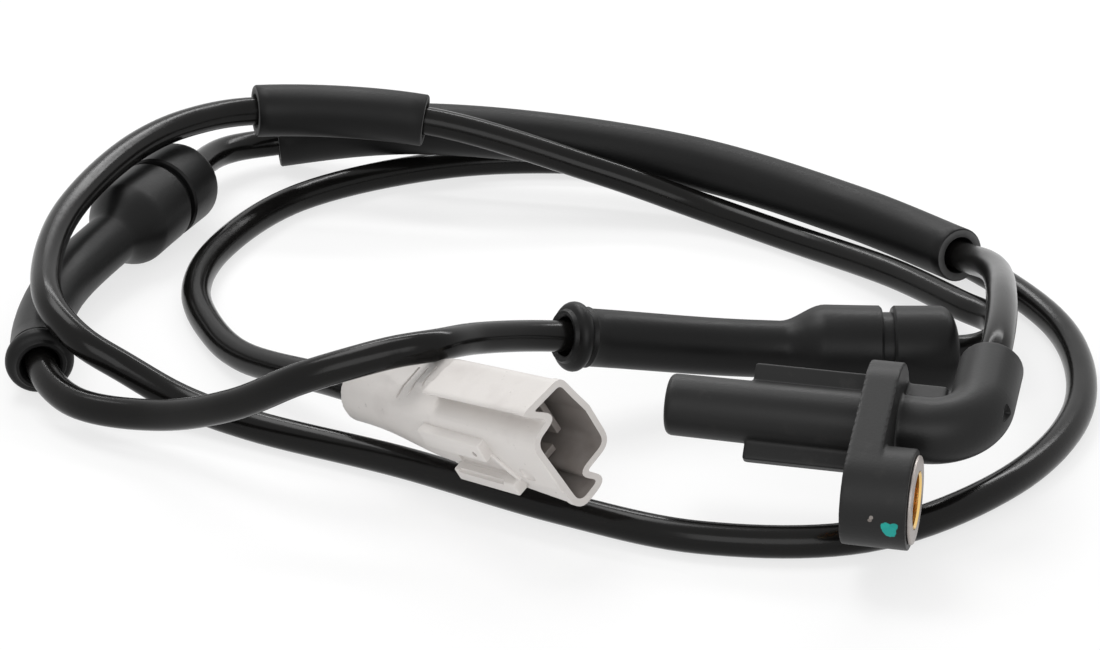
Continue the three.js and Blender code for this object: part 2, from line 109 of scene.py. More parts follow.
class Maker:
    # builds the nodes of one material, or of the world
    def __init__(self, owner):
        self.material = owner
        owner.use_nodes = True
        self.tree = owner.node_tree
        self.tree.nodes.clear()

    def node(self, kind, settings=None, inputs=None, output=0):
        made = self.tree.nodes.new(kind)
        for key, value in (settings or {}).items():
            if key == "stops":
                for i, (where, shade) in enumerate(value):
                    stop = made.color_ramp.elements[i] if i < 2 else made.color_ramp.elements.new(where)
                    stop.position = where
                    stop.color = (shade, shade, shade, 1)
            else:
                setattr(made, key, value)
        for key, value in (inputs or {}).items():
            if isinstance(value, Wire):
                self.tree.links.new(value.socket, made.inputs[key])
            else:
                made.inputs[key].default_value = value
        return Wire(self, made.outputs[output]) if made.outputs else None

    def place(self):
        return self.node("ShaderNodeTexCoord", output="Object")

    def noise(self, scale, detail=3, roughness=0.5, place=None):
        return self.node("ShaderNodeTexNoise", {}, {
            "Vector": place or self.place(), "Scale": scale, "Detail": detail, "Roughness": roughness})

    def ramp(self, value, *stops):
        return self.node("ShaderNodeValToRGB", {"stops": stops}, {"Fac": value})

    def stretched(self, scale):
        return self.node("ShaderNodeMapping", {}, {"Vector": self.place(), "Scale": scale})

    def spot(self, centre, radius, ragged=0.0):
        # one inside a ball about a point given in mm, nothing outside it, with a ragged rim
        away = self.node("ShaderNodeVectorMath", {"operation": "DISTANCE"}, {
            0: self.place(), 1: [value * mm for value in centre]}, output="Value")
        if ragged:
            away = away + (self.noise(900, 4, 0.6) - 0.5) * (ragged * mm)
        return self.ramp(away * (0.5 / (radius * mm)), (0.47, 1.0), (0.53, 0.0))

    def blend(self, factor, first, second):
        return self.node("ShaderNodeMix", {"data_type": 'RGBA'}, {0: factor, 6: first, 7: second}, output=2)

    def finish(self, colour, roughness, bump=None, depth=0.1, **more):
        inputs = {"Base Color": colour, "Roughness": roughness}
        inputs.update(more)
        if bump is not None:
            inputs["Normal"] = self.node("ShaderNodeBump", {}, {
                "Height": bump, "Distance": depth * mm, "Strength": 1.0})
        shader = self.node("ShaderNodeBsdfPrincipled", {}, inputs)
        self.node("ShaderNodeOutputMaterial", {}, {"Surface": shader})
        return self.material


def shade(red, green, blue):
    return (red, green, blue, 1)


def newMaker(name):
    return Maker(bpy.data.materials.new(name))


# Materials: a slow cloud varies the colour and the gloss, a fine grain the surface

def makeJacket():
    made = newMaker("glossy jacket")
    cloud = made.noise(90)
    fine = made.noise(900, 2)
    colour = made.blend(cloud, shade(0.003, 0.003, 0.003), shade(0.006, 0.0055, 0.005))
    return made.finish(colour, made.ramp(cloud, (0.3, 0.16), (0.7, 0.24)), fine, 0.012,
                       **{"Specular IOR Level": 0.16})


def makeRubber(name, dark, light, low, high):
    made = newMaker(name)
    cloud = made.noise(60)
    fine = made.noise(1600, 2)
    colour = made.blend(cloud, shade(dark, dark, dark * 1.03), shade(light, light, light))
    return made.finish(colour, made.ramp(cloud, (0.3, low), (0.7, high)), fine, 0.02,
                       **{"Specular IOR Level": 0.16})


def makeCutRubber():
    made = newMaker("cut rubber")
    cloud = made.noise(500)
    colour = made.blend(cloud, shade(0.05, 0.05, 0.05), shade(0.11, 0.11, 0.11))
    return made.finish(colour, 0.8, made.noise(2500, 2), 0.04)


# marks on the head: place, size and ragged rim in mm, strength, colour
headMarks = [
    ((7.3, -16.1, -2.6), 0.8, 0.9, 1.0, (0.012, 0.30, 0.26)),
    ((8.4, -16.0, -2.5), 0.7, 0.9, 1.0, (0.010, 0.26, 0.23)),
    ((7.9, -15.9, -3.5), 1.0, 1.2, 1.0, (0.012, 0.28, 0.25)),
    ((5.0, -16.1, -1.3), 0.3, 0.5, 0.7, (0.30, 0.27, 0.25)),
    ((4.8, -16.1, -1.8), 0.3, 0.5, 0.6, (0.25, 0.22, 0.20)),
]


def makeHousingNylon():
    made = newMaker("head nylon")
    cloud = made.noise(45)
    grain = made.noise(2200, 2)
    rub = made.ramp(made.noise(150, 4, 0.65), (0.58, 0.0), (0.72, 1.0))
    base = made.blend(cloud, shade(0.008, 0.008, 0.008), shade(0.014, 0.014, 0.014))
    worn = made.blend(rub * 0.22, base, shade(0.045, 0.043, 0.041))
    for place, radius, ragged, strength, tint in headMarks:
        worn = made.blend(made.spot(place, radius, ragged) * strength, worn, shade(*tint))
    return made.finish(worn, made.ramp(cloud, (0.3, 0.38), (0.7, 0.50)), grain, 0.02,
                       **{"Specular IOR Level": 0.2})


def makeBrass():
    made = newMaker("bush brass")
    turning = made.noise(260, 2, place=made.stretched((9, 1, 1)))
    colour = made.blend(turning, shade(0.78, 0.50, 0.16), shade(0.90, 0.64, 0.26))
    return made.finish(colour, made.ramp(turning, (0.3, 0.16), (0.7, 0.28)), turning, 0.01, Metallic=1.0)


def makeZinc():
    made = newMaker("pale bush face")
    rings = made.noise(700, 2)
    colour = made.blend(rings, shade(0.30, 0.27, 0.25), shade(0.46, 0.42, 0.40))
    return made.finish(colour, made.ramp(rings, (0.3, 0.34), (0.7, 0.5)), rings, 0.015, Metallic=0.6)


def makePlugNylon():
    made = newMaker("plug nylon")
    cloud = made.noise(70)
    grain = made.noise(2400, 2)
    scuff = made.ramp(made.noise(420, 4, 0.7), (0.66, 0.0), (0.74, 1.0))
    smudge = made.ramp(made.noise(120, 3, 0.6), (0.52, 0.0), (0.75, 1.0))
    base = made.blend(cloud, shade(0.585, 0.555, 0.53), shade(0.65, 0.625, 0.605))
    worn = made.blend(smudge * 0.35, base, shade(0.44, 0.405, 0.39))
    colour = made.blend(scuff * 0.55, worn, shade(0.20, 0.19, 0.18))
    return made.finish(colour, made.ramp(cloud, (0.3, 0.36), (0.7, 0.5)), grain, 0.02)


def makePlain(name, dark, light, low, high, metallic):
    made = newMaker(name)
    cloud = made.noise(420)
    return made.finish(made.blend(cloud, shade(*dark), shade(*light)),
                       made.ramp(cloud, (0.3, low), (0.7, high)), cloud, 0.02, Metallic=metallic)


jacket = makeJacket()
sleeveRubber = makeRubber("sleeve rubber", 0.004, 0.008, 0.42, 0.55)
grommetRubber = makeRubber("grommet rubber", 0.004, 0.007, 0.34, 0.46)
cutRubber = makeCutRubber()
headNylon = makeHousingNylon()
bushBrass = makeBrass()
bushFace = makeZinc()
plugNylon = makePlugNylon()
# the plug's nylon made darker: painted shade for the walls inside the mouth
plugMouthShade = makePlain("plug mouth painted shade", (0.20, 0.175, 0.16), (0.30, 0.275, 0.26), 0.4, 0.55, 0.0)
copperWire = makePlain("enamelled copper", (0.42, 0.14, 0.05), (0.60, 0.25, 0.10), 0.25, 0.4, 1.0)
ironGrey = makePlain("pole iron", (0.30, 0.30, 0.31), (0.45, 0.45, 0.46), 0.3, 0.5, 1.0)
terminalBrass = makePlain("terminal brass", (0.66, 0.44, 0.16), (0.80, 0.58, 0.26), 0.22, 0.4, 1.0)
innerNylon = makePlain("inner nylon", (0.34, 0.33, 0.31), (0.42, 0.41, 0.39), 0.4, 0.55, 0.0)
darkNylon = makePlain("bobbin nylon", (0.05, 0.05, 0.045), (0.08, 0.08, 0.07), 0.4, 0.6, 0.0)
blueCore = makePlain("blue core", (0.02, 0.07, 0.28), (0.04, 0.11, 0.36), 0.3, 0.45, 0.0)
brownCore = makePlain("brown core", (0.16, 0.06, 0.02), (0.24, 0.10, 0.04), 0.3, 0.45, 0.0)
print("materials made")


# Mesh helpers

def newPiece(name, bm, materials, node):
    mesh = bpy.data.meshes.new(name)
    bmesh.ops.recalc_face_normals(bm, faces=bm.faces)
    bm.to_mesh(mesh)
    bm.free()
    return dressPiece(name, mesh, materials, node)


def dressPiece(name, mesh, materials, node):
    # the finished mesh as an object that stands for one of the solids
    for one in materials:
        mesh.materials.append(one)
    piece = bpy.data.objects.new(name, mesh)
    scene.collection.objects.link(piece)
    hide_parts(node)
    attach(piece, "root")
    return piece


def smoothByAngle(mesh, degrees):
    bm = bmesh.new()
    bm.from_mesh(mesh)
    for face in bm.faces:
        face.smooth = True
    for edge in bm.edges:
        edge.smooth = len(edge.link_faces) == 2 and edge.calc_face_angle(0) < radians(degrees)
    bm.to_mesh(mesh)
    bm.free()


def spinProfile(profile, sides):
    # a profile of distances along X and radii, turned round X
    bm = bmesh.new()
    corners = [bm.verts.new((along * mm, 0, radius * mm)) for along, radius in profile]
    edges = [bm.edges.new(pair) for pair in zip(corners, corners[1:])]
    bmesh.ops.spin(bm, geom=corners + edges, cent=(0, 0, 0), axis=(1, 0, 0), angle=2 * pi,
                   steps=sides, use_merge=True, use_duplicate=False)
    bmesh.ops.remove_doubles(bm, verts=bm.verts, dist=1e-6)
    bmesh.ops.recalc_face_normals(bm, faces=bm.faces)
    return bm


def addTo(bm, other, place=None):
    # pours another bmesh into this one, set in its place
    if place is not None:
        bmesh.ops.transform(other, matrix=place, verts=other.verts)
    mesh = bpy.data.meshes.new("pour")
    other.to_mesh(mesh)
    other.free()
    bm.from_mesh(mesh)
    bpy.data.meshes.remove(mesh)


def boxShape(low, high, bevel):
    bm = bmesh.new()
    size = Vector(high) - Vector(low)
    middle = (Vector(high) + Vector(low)) / 2
    bmesh.ops.create_cube(bm, size=mm)
    bmesh.ops.scale(bm, vec=size, verts=bm.verts)
    bmesh.ops.translate(bm, vec=middle * mm, verts=bm.verts)
    bmesh.ops.bevel(bm, geom=bm.edges[:], offset=bevel * mm, segments=3, profile=0.5,
                    affect='EDGES', material=-1)
    return bm


def cylinderShape(radius, start, end, y=0.0, sides=96):
    bm = spinProfile([(start, 0), (start, radius), (end, radius), (end, 0)], sides)
    bmesh.ops.translate(bm, vec=(0, y * mm, 0), verts=bm.verts)
    return bm


def acrossShape(radius, start, end, x, z=0.0, sides=96):
    # a round bar along Y
    bm = cylinderShape(radius, start, end, sides=sides)
    bmesh.ops.rotate(bm, cent=(0, 0, 0), matrix=Matrix.Rotation(pi / 2, 3, 'Z'), verts=bm.verts)
    bmesh.ops.translate(bm, vec=(x * mm, 0, z * mm), verts=bm.verts)
    return bm


def onlyVerts(geometry):
    return [one for one in geometry if isinstance(one, bmesh.types.BMVert)]


def onlyEdges(geometry):
    return [one for one in geometry if isinstance(one, bmesh.types.BMEdge)]


def outlineShape(outline, start, end):
    # a flat outline in Y and Z, drawn out along X
    bm = bmesh.new()
    face = bm.faces.new([bm.verts.new((start * mm, y * mm, z * mm)) for y, z in outline])
    grown = bmesh.ops.extrude_face_region(bm, geom=[face], use_keep_orig=True)
    bmesh.ops.translate(bm, vec=((end - start) * mm, 0, 0), verts=onlyVerts(grown["geom"]))
    bmesh.ops.recalc_face_normals(bm, faces=bm.faces)
    return bm


def settled(thing):
    # the object's modifiers become part of its mesh
    graph = bpy.context.evaluated_depsgraph_get()
    mesh = bpy.data.meshes.new_from_object(thing.evaluated_get(graph))
    old = thing.data
    thing.modifiers.clear()
    thing.data = mesh
    bpy.data.meshes.remove(old)


def looseThing(name, bm):
    mesh = bpy.data.meshes.new(name)
    bm.to_mesh(mesh)
    bm.free()
    thing = bpy.data.objects.new(name, mesh)
    scene.collection.objects.link(thing)
    return thing


def fused(bm, voxel, rounds):
    # shells that run into each other become one moulded skin with small fillets
    thing = looseThing("fused", bm)
    remesh = thing.modifiers.new("skin", 'REMESH')
    remesh.mode = 'VOXEL'
    remesh.voxel_size = voxel * mm
    soften = thing.modifiers.new("soften", 'SMOOTH')
    soften.factor = 0.5
    soften.iterations = rounds
    settled(thing)
    return thing


def combine(thing, shapes, operation):
    # adds shapes to the moulding, or cuts them out of it
    for shape in shapes:
        tool = looseThing("tool", shape)
        cut = thing.modifiers.new("cut", 'BOOLEAN')
        cut.operation = operation
        cut.solver = 'EXACT'
        cut.object = tool
        settled(thing)
        bpy.data.objects.remove(tool)


def add(thing, *shapes):
    combine(thing, shapes, 'UNION')


def carve(thing, *shapes):
    combine(thing, shapes, 'DIFFERENCE')


def meshOf(thing):
    mesh = thing.data
    bpy.data.objects.remove(thing)
    return mesh


# The lead's route, in metres, the same points as the solids follow

leadRoute = {
    "inElbow": [(0.0170, 0.0177, 0.0034), (0.0170, 0.0262, 0.0051), (0.0170, 0.0334, 0.0065)],
    "elbowToSleeve": [(0.0150, 0.0540, 0.0044), (0.0094, 0.0840, -0.0032)],
    "alongLongSleeve": [
        (0.0023, 0.0969, -0.0073), (-0.0197, 0.1116, -0.0072), (-0.0548, 0.1227, -0.0048),
        (-0.1030, 0.1233, -0.0038), (-0.1315, 0.1245, -0.0096)],
    "sleeveToGrommet": [(-0.1394, 0.1160, -0.0089)],
    "alongLeftGrommet": [
        (-0.1410, 0.0966, -0.0070), (-0.1442, 0.0746, -0.0070), (-0.1479, 0.0475, -0.0088),
        (-0.1407, 0.0199, -0.0090)],
    "betweenGrommets": [
        (-0.1312, 0.0099, -0.0099), (-0.1158, 0.0053, -0.0083), (-0.1004, -0.0004, -0.0019),
        (-0.0890, -0.0020, 0.0046), (-0.0812, -0.0004, 0.0074), (-0.0745, 0.0027, 0.0088),
        (-0.0688, 0.0064, 0.0089), (-0.0644, 0.0170, 0.0058)],
    "alongRightGrommet": [
        (-0.0541, 0.0316, 0.0006), (-0.0265, 0.0472, -0.0057), (0.0065, 0.0570, -0.0071)],
    "backTurn": [
        (0.0111, 0.0602, -0.0074), (0.0133, 0.0660, -0.0077), (0.0117, 0.0731, -0.0082),
        (0.0054, 0.0795, -0.0090), (-0.0091, 0.0941, -0.0107), (-0.0300, 0.1085, -0.0122),
        (-0.0480, 0.1154, -0.0107), (-0.0669, 0.1157, -0.0057)],
    "alongShortSleeve": [(-0.0993, 0.1129, 0.0023), (-0.1305, 0.1085, 0.0030)],
    "overGrommet": [
        (-0.1398, 0.0984, 0.0039), (-0.1457, 0.0840, 0.0040), (-0.1490, 0.0593, 0.0023),
        (-0.1463, 0.0398, 0.0007), (-0.1403, 0.0252, -0.0004), (-0.1330, 0.0191, -0.0032),
        (-0.1254, 0.0186, -0.0071), (-0.1155, 0.0169, -0.0109)],
    "frontSweep": [
        (-0.1022, 0.0130, -0.0122), (-0.0748, 0.0059, -0.0122), (-0.0461, -0.0037, -0.0122),
        (-0.0227, -0.0082, -0.0122), (0.0020, -0.0019, -0.0122), (0.0215, 0.0219, -0.0122),
        (0.0289, 0.0500, -0.0122), (0.0236, 0.0780, -0.0122), (0.0095, 0.0983, -0.0122),
        (-0.0127, 0.1170, -0.0122)],
    "behindSleeve": [(-0.0403, 0.1339, -0.0122), (-0.0713, 0.1354, -0.0122), (-0.0985, 0.1273, -0.0122)],
    "innerLoop": [
        (-0.1215, 0.1056, -0.0122), (-0.1289, 0.0792, -0.0122), (-0.1270, 0.0606, -0.0122),
        (-0.1188, 0.0455, -0.0122), (-0.1103, 0.0356, -0.0113)],
    "inPlug": [(-0.0911, 0.0203, -0.0061), (-0.0844, 0.0157, -0.0048), (-0.0748, 0.0093, -0.0028)],
}


class Route:
    # the lead's centreline, with the same curve as the solids have
    def __init__(self, stretches):
        self.points = [Vector(point) for part in stretches.values() for point in part]
        self.starts = {}
        count = 0
        for name, part in stretches.items():
            self.starts[name] = (count, count + len(part) - 1)
            count += len(part)
        self.handles = self.makeHandles()
        self.walk = []
        self.marks = [0]
        for i in range(len(self.points) - 1):
            span = interpolate_bezier(self.points[i], self.handles[i][1], self.handles[i + 1][0],
                                      self.points[i + 1], 33)
            self.walk.extend(span if i == 0 else span[1:])
            self.marks.append(len(self.walk) - 1)
        self.along = [0.0]
        for here, there in zip(self.walk, self.walk[1:]):
            self.along.append(self.along[-1] + (there - here).length)

    def makeHandles(self):
        points = self.points
        padded = [2 * points[0] - points[1]] + points + [2 * points[-1] - points[-2]]
        handles = []
        for i in range(1, len(padded) - 1):
            before, here, after = padded[i - 1], padded[i], padded[i + 1]
            near = sqrt((here - before).length)
            far = sqrt((after - here).length)
            slope = (here - before) / near - (after - before) / (near + far) + (after - here) / far
            handles.append((here - slope * near / 3, here + slope * far / 3))
        return handles

    def distance(self, index):
        return self.along[self.marks[index]]

    def stretch(self, name):
        first, last = self.starts[name]
        return self.distance(first), self.distance(last)

    def at(self, distance):
        low, high = 0, len(self.along) - 1
        while high - low > 1:
            middle = (low + high) // 2
            if self.along[middle] <= distance:
                low = middle
            else:
                high = middle
        part = (distance - self.along[low]) / (self.along[high] - self.along[low])
        centre = self.walk[low].lerp(self.walk[high], part)
        first = self.walk[max(low - 1, 0)]
        last = self.walk[min(high + 1, len(self.walk) - 1)]
        return centre, (last - first).normalized()


route = Route(leadRoute)


def bendOnRoute(bm, start, direction):
    # a straight shape along X is laid on the route from a distance, forwards or backwards
    for vert in bm.verts:
        centre, forward = route.at(start + direction * vert.co.x)
        side = Vector((0, 0, 1)).cross(forward).normalized()
        up = forward.cross(side)
        vert.co = centre + side * vert.co.y * direction + up * vert.co.z
    bmesh.ops.recalc_face_normals(bm, faces=bm.faces)


# Cable

cableLook = {"diameter": 5.2, "sides": 8, "steps": 10}


def makeCable():
    data = bpy.data.curves.new("lead", 'CURVE')
    data.dimensions = '3D'
    data.bevel_depth = cableLook["diameter"] / 2 * mm
    data.bevel_resolution = cableLook["sides"]
    data.resolution_u = cableLook["steps"]
    data.use_fill_caps = True
    spline = data.splines.new('BEZIER')
    spline.bezier_points.add(len(route.points) - 1)
    for point, place, (before, after) in zip(spline.bezier_points, route.points, route.handles):
        point.handle_left_type = 'FREE'
        point.handle_right_type = 'FREE'
        point.co = place
        point.handle_left = before
        point.handle_right = after
    data.materials.append(jacket)
    cable = bpy.data.objects.new("lead", data)
    scene.collection.objects.link(cable)
    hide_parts("cable")
    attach(cable, "root")
    return cable


lead = makeCable()
print("lead laid,", round(route.along[-1], 3), "m long")


# Sleeves

sleeveLook = {"diameter": 9.6, "bore": 6.6, "edge": 0.25, "step": 2.5, "sides": 36}


def makeSleeve(name, stretch):
    start, end = route.stretch(stretch)
    length = (end - start) / mm
    outer = sleeveLook["diameter"] / 2
    inner = sleeveLook["bore"] / 2
    edge = sleeveLook["edge"]
    steps = round(length / sleeveLook["step"])
    outside = [(edge + (length - 2 * edge) * i / steps, outer) for i in range(steps + 1)]
    inside = [(length - (length * i / steps), inner) for i in range(steps + 1)]
    profile = [(0, inner), (0, outer - edge)] + outside + [(length, outer - edge)] + inside
    bm = spinProfile(profile, sleeveLook["sides"])
    for face in bm.faces:
        face.smooth = True
        centre = face.calc_center_median().x / mm
        face.material_index = 1 if abs(face.normal.x) > 0.9 and not edge < centre < length - edge else 0
    bendOnRoute(bm, start, 1)
    return newPiece(name + "_skin", bm, [sleeveRubber, cutRubber], name)


makeSleeve("sleeve_long", "alongLongSleeve")
makeSleeve("sleeve_short", "alongShortSleeve")
print("sleeves made")


# Grommets

grommetLook = {
    "tube": 9.6, "bead": 11.6, "beadWidth": 4.2, "bulb": 15.4, "bore": 6.6, "shoulder": 7.5,
    "bulbLength": 9.5, "groove": 1.8, "grooveDepth": 1.1, "endLength": 10.0, "round": 2.0, "sides": 48,
    "lead": 0.4, "beadRound": 0.72, "neck": 0.9, "grooveEdge": 0.35,
}


def arcPoints(centre, radius, first, last, steps):
    return [(centre[0] + radius * cos(radians(first + (last - first) * i / steps)),
             centre[1] + radius * sin(radians(first + (last - first) * i / steps))) for i in range(steps + 1)]


def makeGrommet(name, stretch, beadFirst):
    # one profile from the bead over the tube and the grooved bulb, and back through the bore
    look = grommetLook
    start, end = route.stretch(stretch)
    length = (end - start) / mm
    tube = look["tube"] / 2
    bead = look["bead"] / 2
    bulb = look["bulb"] / 2
    endStart = length - look["endLength"]
    bulbEnd = endStart - look["groove"]
    bulbStart = bulbEnd - look["bulbLength"]
    shoulder = bulbStart - look["shoulder"]
    bore = look["bore"] / 2
    half = look["beadWidth"] / 2
    rounding = half * look["beadRound"]
    lead, edge, neck = look["lead"], look["grooveEdge"], look["beadWidth"] + look["neck"]
    floor = bulb - look["grooveDepth"]
    profile = [(lead, bore), (0, bore + lead), (0, bead - 1.6)]
    profile += arcPoints((half, bead - rounding), rounding, 170, 10, 10)
    profile += [(look["beadWidth"] + 0.3, tube + 0.25), (neck, tube)]
    profile += [(neck + (shoulder - neck) * i / 14, tube) for i in range(1, 15)]
    for i in range(1, 11):
        part = i / 11
        lift = part * part * (3 - 2 * part)
        profile.append((shoulder + look["shoulder"] * part, tube + (bulb - tube) * lift))
    profile += [(bulbStart, bulb), ((bulbStart + bulbEnd) / 2, bulb), (bulbEnd - 0.4, bulb), (bulbEnd, bulb - edge),
                (bulbEnd, floor), (endStart, floor),
                (endStart, bulb - edge), (endStart + 0.4, bulb), ((endStart + length) / 2, bulb)]
    profile += arcPoints((length - look["round"], bulb - look["round"]), look["round"], 90, 0, 6)
    profile += [(length, bore + 0.5), (length - 0.5, bore)]
    profile += [(length * (1 - i / 16), bore) for i in range(1, 16)] + [(lead, bore)]
    bm = spinProfile(profile, look["sides"])
    for face in bm.faces:
        face.smooth = True
    bendOnRoute(bm, start if beadFirst else end, 1 if beadFirst else -1)
    piece = newPiece(name + "_skin", bm, [grommetRubber], name)
    smoothByAngle(piece.data, 40)


makeGrommet("grommet_left", "alongLeftGrommet", False)
makeGrommet("grommet_right", "alongRightGrommet", True)
print("grommets made")


# Sensor head

headLook = {
    "barrel": 5.1, "tip": 4.9, "length": 31.5, "tipRound": 1.0,
    "finReach": 7.9, "finThickness": 2.4, "finLength": 18.5, "finTurn": 37,
    "flange": 5.2, "flangeRadius": 10.2, "pitch": 17.5, "boss": 7.8, "bossLength": 10.2,
    "elbow": 5.2, "bend": 8.0, "armX": 17.0, "armReach": 18.0, "seat": 5.6,
    "ledge": ((2.6, 0, -3.2), (11.6, 9.2, 2.3)), "notch": ((20.9, 2.6, 0.8), (24, 5.6, 2.8)),
    "leadBore": 2.75, "boreFrom": 8.0, "voxel": 0.23, "soften": 5, "sharp": 38,
}


def elbowShape():
    # a round bar that leaves the ear along X and turns towards +Y
    look = headLook
    bm = bmesh.new()
    ring = bmesh.ops.create_circle(bm, cap_ends=False, radius=look["elbow"] * mm, segments=64)["verts"]
    bmesh.ops.rotate(bm, cent=(0, 0, 0), matrix=Matrix.Rotation(pi / 2, 3, 'Y'), verts=ring)
    bmesh.ops.translate(bm, vec=(1 * mm, 0, 0), verts=ring)
    straight = bmesh.ops.extrude_edge_only(bm, edges=bm.edges[:])["geom"]
    moved = onlyVerts(straight)
    bmesh.ops.translate(bm, vec=((look["armX"] - look["bend"] - 1) * mm, 0, 0), verts=moved)
    centre = ((look["armX"] - look["bend"]) * mm, look["bend"] * mm, 0)
    turned = bmesh.ops.spin(bm, geom=moved + onlyEdges(straight), cent=centre, axis=(0, 0, 1), angle=pi / 2,
                            steps=20, use_merge=False, use_duplicate=False)["geom_last"]
    arm = bmesh.ops.extrude_edge_only(bm, edges=onlyEdges(turned))["geom"]
    bmesh.ops.translate(bm, vec=(0, (look["armReach"] - look["bend"]) * mm, 0), verts=onlyVerts(arm))
    bmesh.ops.holes_fill(bm, edges=bm.edges[:], sides=0)
    bmesh.ops.recalc_face_normals(bm, faces=bm.faces)
    return bm


def makeHead():
    look = headLook
    bm = bmesh.new()
    tip = -look["length"]
    rounding = look["tipRound"]
    barrel = [(tip, 0), (tip, look["tip"] - rounding)]
    barrel += [(tip + rounding * (1 - cos(radians(a))), look["tip"] - rounding * (1 - sin(radians(a))))
               for a in range(15, 91, 15)]
    barrel += [(0, look["barrel"]), (3, look["barrel"]), (3, 0)]
    addTo(bm, spinProfile(barrel, 96))
    fin = boxShape((-look["finLength"], -look["finReach"], -look["finThickness"] / 2),
                   (1, look["finReach"], look["finThickness"] / 2), 0.3)
    addTo(bm, fin, Matrix.Rotation(radians(look["finTurn"]), 4, 'X'))
    ear = cylinderShape(look["flangeRadius"], 0, look["flange"])
    addTo(ear, cylinderShape(look["boss"], 0, look["flange"], -look["pitch"]))
    hull = bmesh.ops.convex_hull(ear, input=ear.verts)
    inner = set(hull["geom_interior"]) | set(hull["geom_unused"]) | set(hull["geom_holes"])
    bmesh.ops.delete(ear, geom=onlyVerts(inner), context='VERTS')
    addTo(bm, ear)
    addTo(bm, cylinderShape(look["boss"], 0, look["bossLength"], -look["pitch"]))
    addTo(bm, elbowShape())
    addTo(bm, boxShape(*look["ledge"], 0.6))
    thing = fused(bm, look["voxel"], look["soften"])
    carve(thing, cylinderShape(look["seat"], -1, look["bossLength"] + 1, -look["pitch"]),
          acrossShape(look["leadBore"], look["boreFrom"], look["armReach"] + 2, look["armX"], sides=48),
          boxShape(*look["notch"], 0.3))
    mesh = meshOf(thing)
    mesh.transform(headPlace)
    smoothByAngle(mesh, look["sharp"])
    dressPiece("head_moulding", mesh, [headNylon], "sensor_housing")


makeHead()
print("head moulded")


# Bush in the ear

bushLook = {"bore": 4.2, "outer": 5.45, "seat": 10.25, "length": 10.8, "flange": 6.85, "edge": 0.35,
            "flangeEdge": 0.15}


def makeBush():
    bore, outer, seat = bushLook["bore"], bushLook["outer"], bushLook["seat"]
    length, flange = bushLook["length"], bushLook["flange"]
    edge, rim = bushLook["edge"], bushLook["flangeEdge"]
    profile = [(edge, bore), (0, bore + edge), (0, outer), (seat, outer), (seat, flange - rim),
               (seat + rim, flange), (length - rim, flange), (length, flange - rim),
               (length, bore + edge), (length - edge, bore), (edge, bore)]
    bm = spinProfile(profile, 96)
    for face in bm.faces:
        face.smooth = True
        middle = face.calc_center_median()
        reach = sqrt(middle.y ** 2 + middle.z ** 2) / mm
        face.material_index = 1 if reach > bore + edge / 2 else 0
    bmesh.ops.translate(bm, vec=(0, -headLook["pitch"] * mm, 0), verts=bm.verts)
    bmesh.ops.transform(bm, matrix=headPlace, verts=bm.verts)
    piece = newPiece("bush_turned", bm, [bushBrass, bushFace], "mounting_bush")
    smoothByAngle(piece.data, 30)


makeBush()
print("bush turned")


# Plug

plugLook = {
    "length": 52.1, "width": 11.9, "bottom": -5.4, "wall": 0.95, "mouthDepth": 17.0, "leadBore": 2.8,
    # corners of the mouth, seen from the front, each with its rounding
    "nearTop": [(-5.95, 6.4, 3.0)],
    "lobe": [(-5.2, -9.7, 3.0), (2.3, -9.3, 1.6), (-0.5, -5.4, 0.6)],
    "plainBottom": [(-5.9, -5.4, 1.4)],
    "farAndKey": [(6.0, -5.2, 2.6), (6.15, 2.6, 1.5), (5.35, 6.4, 1.0), (4.6, 10.5, 2.2),
                  (-4.6, 11.2, 0.6), (-0.8, 6.8, 0.8)],
    "tailKey": [(6.0, -5.2, 2.6), (6.15, 2.6, 1.5), (5.35, 6.4, 1.0), (4.6, 9.3, 1.5), (0.4, 9.3, 1.5),
                (-1.6, 7.0, 2.0)],
    "leastRound": 0.25, "lobeStart": 28.6, "lobeLift": 0.8, "keyFrom": 6.0, "keyDrop": 1.2,
    "tailStart": 2.0, "tailLength": 27.5, "tailRadius": 5.2, "tailNarrow": 0.16, "tailShare": 0.95,
    "tailTop": 6.1, "topSlopes": 18.0, "topRise": 3.0,
    "lip": (1.3, 0.12),
    "ribs": (((34.0, 2.4, -1.6), (45.5, 3.5, 5.4)), ((34.0, -2.0, -3.4), (45.5, 0.8, -2.2))),
    "pad": ((25.1, -7.6, 0.5), (39.6, -4.9, 4.2)), "padHole": (37.6, 2.0, 0.5),
    "bar": ((28.8, -7.7, -6.0), (43.0, -4.9, -3.5)), "barSlot": ((30.0, -8.5, -4.0), (40.6, -7.1, -3.4)),
    "web": ((29.4, -8.0, -3.4), (40.6, -5.35, 0.4)), "pocket": ((44.2, -7.0, -3.4), (47.0, -5.3, -1.0)),
    "ridge": ((39.2, 1.0), (43.2, -3.9)), "ridgeWidth": 0.8, "ridgeProud": 0.5,
    "grooves": (17.2, 19.8, 22.4), "grooveWidth": 0.6, "grooveDepth": 0.6, "grooveSpan": (-3.6, 2.8),
    "voxel": 0.25, "soften": 2, "sharp": 38,
}


def clamped(value):
    return min(1, max(0, value))


